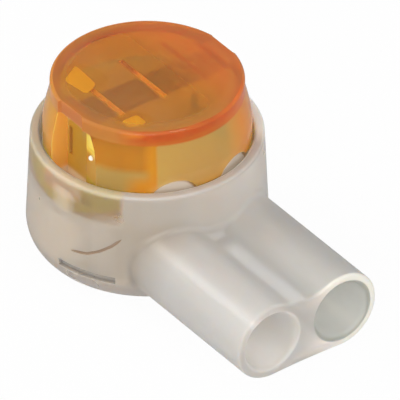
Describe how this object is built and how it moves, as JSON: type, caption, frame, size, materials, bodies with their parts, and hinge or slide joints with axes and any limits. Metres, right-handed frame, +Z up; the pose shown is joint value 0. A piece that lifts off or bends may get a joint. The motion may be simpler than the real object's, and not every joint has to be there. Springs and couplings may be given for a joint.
{
  "type": "gel-filled wire connector",
  "caption": "Gel-filled butt connector that joins telephone wires without stripping them: pressing its amber cap drives a slotted contact over the wires.",
  "frame": {"origin": "centre of the housing's flat foot, on the barrel's axis", "axes": "+Z up along the barrel's axis, out of the cap; the snout with the wire ports points along -Y; +X to the right when the ports face the viewer"},
  "size_m": [0.011, 0.0176, 0.009],
  "materials": {
    "natural_polypropylene": "translucent natural polypropylene, moulded satin gloss",
    "amber_polycarbonate": "transparent amber, moulded gloss",
    "tinned_brass": "tin-plated, stamped and folded",
    "sealing_gel": "clear sticky sealant gel"
  },
  "bodies": {
    "housing_body": {"housing": "natural_polypropylene", "sealant_gel": "sealing_gel"},
    "cap_body": {"button_cap": "amber_polycarbonate", "contact": "tinned_brass"}
  },
  "joints": [
    {"name": "cap_press", "type": "slide", "parent": "housing_body", "child": "cap_body", "axis": [0, 0, -1], "range_m": [0, 0.00295], "deforming": ["sealant_gel"]}
  ]
}
